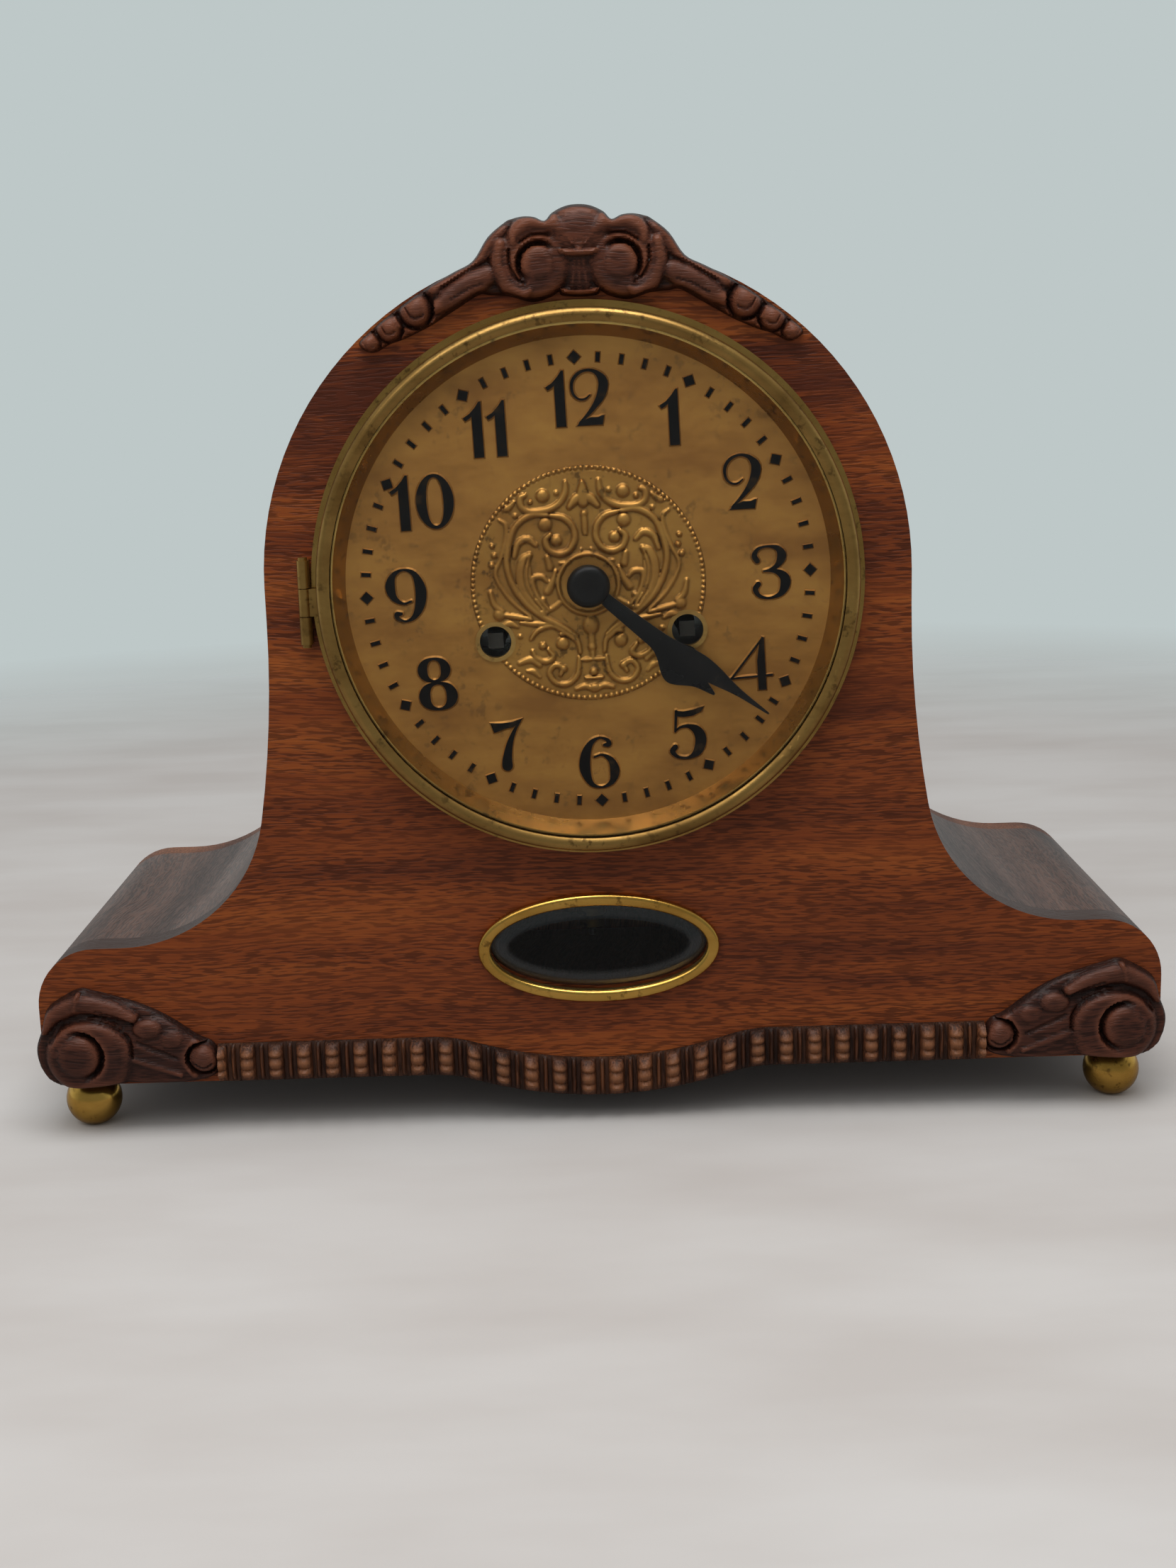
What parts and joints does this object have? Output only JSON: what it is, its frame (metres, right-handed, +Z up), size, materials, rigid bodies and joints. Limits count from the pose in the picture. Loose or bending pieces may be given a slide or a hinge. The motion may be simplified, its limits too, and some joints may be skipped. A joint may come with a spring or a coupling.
{
  "type": "shelf clock",
  "caption": "Arched oak shelf clock with flared, carved shoulders, hinged round brass bezel, oval window, pendulum and striking spring movement behind a hinged back door.",
  "frame": {"origin": "on the floor, in the middle of the clock's box", "axes": "+Z up, the dial faces -Y, +X to the viewer's right"},
  "size_m": [0.3826, 0.1704, 0.3022],
  "materials": {
    "oak": "satin varnished oak with dark pores",
    "carved_oak": "satin varnished carved oak, darker in the hollows",
    "brass": "aged polished brass",
    "dial_brass": "matt gilt brass with tarnish",
    "clear_glass": "clear polished glass",
    "black_hands": "blackened steel",
    "movement_brass": "lacquered brass",
    "steel": "bright steel"
  },
  "bodies": {
    "case": {"front_board": "oak", "case_skin": "oak", "bottom_board": "oak", "back_frame": "oak", "crest_carving": "carved_oak", "left_corner_carving": "carved_oak", "right_corner_carving": "carved_oak", "fluted_band": "carved_oak", "ball_feet": "brass", "frame_screws": "steel", "window_ring": "brass", "window_glass": "clear_glass", "dial_plate": "dial_brass", "dial_rosette": "dial_brass", "winding_eyelets": "brass", "dial_pan": "brass", "bezel_hinge_leaf": "brass", "bezel_hinge_pin": "brass", "frame_hinge_leaves": "brass", "door_hinge_pins": "brass", "movement_front_plate": "movement_brass", "movement_back_plate": "movement_brass", "movement_pillars": "steel", "pillar_nuts": "steel", "movement_posts": "steel", "ratchet_clicks": "steel", "suspension_cock": "movement_brass", "gong_block": "carved_oak", "gong_rods": "steel"},
    "bezel_door": {"bezel_ring": "brass", "dial_glass": "clear_glass", "glass_retainer": "brass", "bezel_hinge_strap": "brass"},
    "rear_door": {"back_door": "oak", "back_door_knob": "brass", "door_hinge_leaves": "brass"},
    "minute_group": {"minute_hand": "black_hands", "hand_nut": "black_hands", "centre_arbor": "steel", "centre_wheel": "movement_brass"},
    "hour_group": {"hour_hand": "black_hands", "hour_wheel": "movement_brass"},
    "minute_wheel_group": {"minute_wheel": "movement_brass"},
    "time_drive": {"time_barrel": "movement_brass", "time_mainspring": "steel"},
    "third_group": {"third_wheel": "movement_brass"},
    "escape_group": {"escape_wheel": "movement_brass"},
    "time_winder": {"time_winding_arbor": "steel", "time_ratchet_wheel": "steel"},
    "strike_drive": {"strike_barrel": "movement_brass", "strike_mainspring": "steel"},
    "strike_group": {"strike_wheel": "movement_brass"},
    "fly_group": {"strike_fly": "movement_brass"},
    "strike_winder": {"strike_winding_arbor": "steel", "strike_ratchet_wheel": "steel"},
    "pendulum": {"pendulum_rod": "steel", "pendulum_bob": "movement_brass", "rating_nut": "movement_brass"},
    "anchor": {"anchor_and_crutch": "steel"},
    "hammer": {"strike_hammer": "steel"}
  },
  "joints": [
    {"name": "bezel_swing", "type": "hinge", "parent": "case", "child": "bezel_door", "pos_m": [-0.091, -0.0716, 0.181], "axis": [0, 0, -1], "range_deg": [0, 120]},
    {"name": "back_door_swing", "type": "hinge", "parent": "case", "child": "rear_door", "pos_m": [0.0677, 0.0734, 0.118], "axis": [0, 0, -1], "range_deg": [0, 115]},
    {"name": "minute_turn", "type": "hinge", "parent": "case", "child": "minute_group", "pos_m": [0, -0.0668, 0.184], "axis": [0, 1, 0], "continuous": true},
    {"name": "hour_turn", "type": "hinge", "parent": "case", "child": "hour_group", "pos_m": [0, -0.0668, 0.184], "axis": [0, 1, 0], "continuous": true},
    {"name": "minute_wheel_turn", "type": "hinge", "parent": "case", "child": "minute_wheel_group", "pos_m": [-0.00059, -0.0668, 0.20079], "axis": [0, 1, 0], "continuous": true},
    {"name": "time_barrel_turn", "type": "hinge", "parent": "case", "child": "time_drive", "pos_m": [0.03167, -0.0668, 0.16825], "axis": [0, 1, 0], "continuous": true},
    {"name": "third_wheel_turn", "type": "hinge", "parent": "case", "child": "third_group", "pos_m": [0.01052, -0.0668, 0.20378], "axis": [0, 1, 0], "continuous": true},
    {"name": "escape_wheel_turn", "type": "hinge", "parent": "case", "child": "escape_group", "pos_m": [-0.00135, -0.0668, 0.22277], "axis": [0, 1, 0], "continuous": true},
    {"name": "time_winding", "type": "hinge", "parent": "case", "child": "time_winder", "pos_m": [0.03167, -0.0668, 0.16825], "axis": [0, 1, 0], "continuous": true},
    {"name": "strike_barrel_turn", "type": "hinge", "parent": "case", "child": "strike_drive", "pos_m": [-0.03049, -0.0668, 0.16608], "axis": [0, 1, 0], "continuous": true},
    {"name": "strike_wheel_turn", "type": "hinge", "parent": "case", "child": "strike_group", "pos_m": [-0.03785, -0.0668, 0.20067], "axis": [0, 1, 0], "continuous": true},
    {"name": "fly_turn", "type": "hinge", "parent": "case", "child": "fly_group", "pos_m": [-0.02996, -0.0668, 0.21551], "axis": [0, 1, 0], "continuous": true},
    {"name": "strike_winding", "type": "hinge", "parent": "case", "child": "strike_winder", "pos_m": [-0.03049, -0.0668, 0.16608], "axis": [0, 1, 0], "continuous": true},
    {"name": "pendulum_swing", "type": "hinge", "parent": "case", "child": "pendulum", "pos_m": [-0.00185, -0.0668, 0.23697], "axis": [0, 1, 0], "range_deg": [-3, 3]},
    {"name": "anchor_rock", "type": "hinge", "parent": "case", "child": "anchor", "pos_m": [-0.00185, -0.0668, 0.23697], "axis": [0, 1, 0], "range_deg": [-3, 3]},
    {"name": "hammer_lift", "type": "hinge", "parent": "case", "child": "hammer", "pos_m": [-0.01817, -0.0668, 0.13133], "axis": [0, 1, 0], "range_deg": [0, 20]}
  ],
  "couplings": [
    {"joint": "hour_turn", "follows": "minute_turn", "ratio": 0.083333},
    {"joint": "minute_wheel_turn", "follows": "minute_turn", "ratio": -0.33333},
    {"joint": "time_barrel_turn", "follows": "minute_turn", "ratio": -0.11111},
    {"joint": "third_wheel_turn", "follows": "minute_turn", "ratio": -6},
    {"joint": "escape_wheel_turn", "follows": "minute_turn", "ratio": 36},
    {"joint": "strike_wheel_turn", "follows": "strike_barrel_turn", "ratio": -9},
    {"joint": "fly_turn", "follows": "strike_barrel_turn", "ratio": 54},
    {"joint": "anchor_rock", "follows": "pendulum_swing", "ratio": 1}
  ]
}
